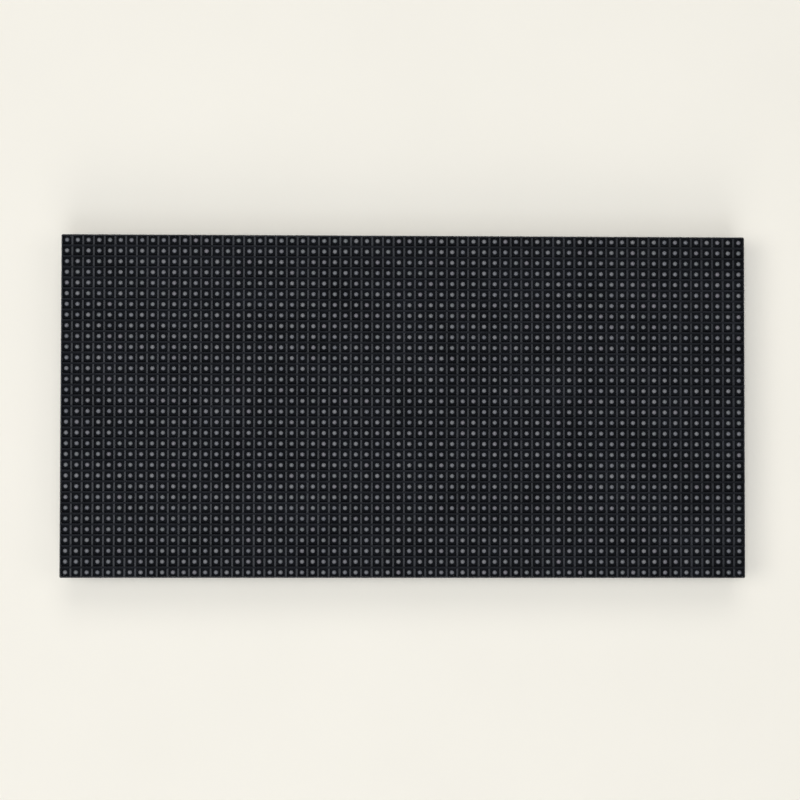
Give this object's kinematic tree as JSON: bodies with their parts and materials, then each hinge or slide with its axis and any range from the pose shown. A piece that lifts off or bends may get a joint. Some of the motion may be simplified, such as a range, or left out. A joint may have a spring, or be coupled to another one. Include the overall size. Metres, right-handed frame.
{
  "type": "led display panel",
  "caption": "Flat rectangular full-colour LED matrix display module with a black louvred front mask and a ribbed rear frame that carries data and power headers and mounting threads.",
  "frame": {"origin": "on the plane of the frame's rear rim, under the middle of the display face", "axes": "+X along the long side, +Y up the picture, +Z out of the display face"},
  "size_m": [0.192, 0.096, 0.0145],
  "materials": {
    "mask_black": "matt moulded, fine grain",
    "lamp_black": "matt black housing, frosted lens",
    "board_green": "solder mask on glass epoxy",
    "frame_black": "matt moulded, glass filled",
    "header_black": "moulded",
    "pin_gold": "flash gold plating",
    "power_white": "moulded nylon",
    "pin_tin": "bright tin plating",
    "insert_brass": "turned",
    "screw_steel": "zinc plated",
    "chip_ceramic": "fired ceramic with tinned ends",
    "chip_film": "coated film with tinned ends",
    "ic_epoxy": "moulded epoxy",
    "can_aluminium": "bare can"
  },
  "bodies": {
    "root": {"front_mask": "mask_black", "leds_upper_half": "lamp_black", "leds_lower_half": "lamp_black", "led_board": "board_green", "rear_frame": "frame_black", "input_header": "header_black", "input_pins": "pin_gold", "output_header": "header_black", "output_pins": "pin_gold", "power_header": "power_white", "power_pins": "pin_tin", "mount_inserts": "insert_brass", "board_nuts": "insert_brass", "frame_screws": "screw_steel", "chip_capacitors": "chip_ceramic", "chip_resistors": "chip_film", "driver_ic_01": "ic_epoxy", "driver_ic_02": "ic_epoxy", "driver_ic_03": "ic_epoxy", "driver_ic_04": "ic_epoxy", "driver_ic_05": "ic_epoxy", "driver_ic_06": "ic_epoxy", "driver_ic_07": "ic_epoxy", "driver_ic_08": "ic_epoxy", "driver_ic_09": "ic_epoxy", "driver_ic_10": "ic_epoxy", "driver_ic_11": "ic_epoxy", "driver_ic_12": "ic_epoxy", "driver_ic_13": "ic_epoxy", "driver_ic_14": "ic_epoxy", "driver_ic_15": "ic_epoxy", "driver_ic_16": "ic_epoxy", "driver_ic_17": "ic_epoxy", "driver_ic_18": "ic_epoxy", "driver_ic_19": "ic_epoxy", "driver_ic_20": "ic_epoxy", "driver_ic_21": "ic_epoxy", "driver_ic_22": "ic_epoxy", "driver_ic_23": "ic_epoxy", "driver_ic_24": "ic_epoxy", "line_buffer_01": "ic_epoxy", "line_buffer_02": "ic_epoxy", "row_decoder_01": "ic_epoxy", "row_decoder_02": "ic_epoxy", "row_switch_01": "ic_epoxy", "row_switch_02": "ic_epoxy", "row_switch_03": "ic_epoxy", "row_switch_04": "ic_epoxy", "row_switch_05": "ic_epoxy", "row_switch_06": "ic_epoxy", "row_switch_07": "ic_epoxy", "row_switch_08": "ic_epoxy", "bulk_capacitor_01": "can_aluminium", "bulk_capacitor_02": "can_aluminium"}
  },
  "joints": []
}
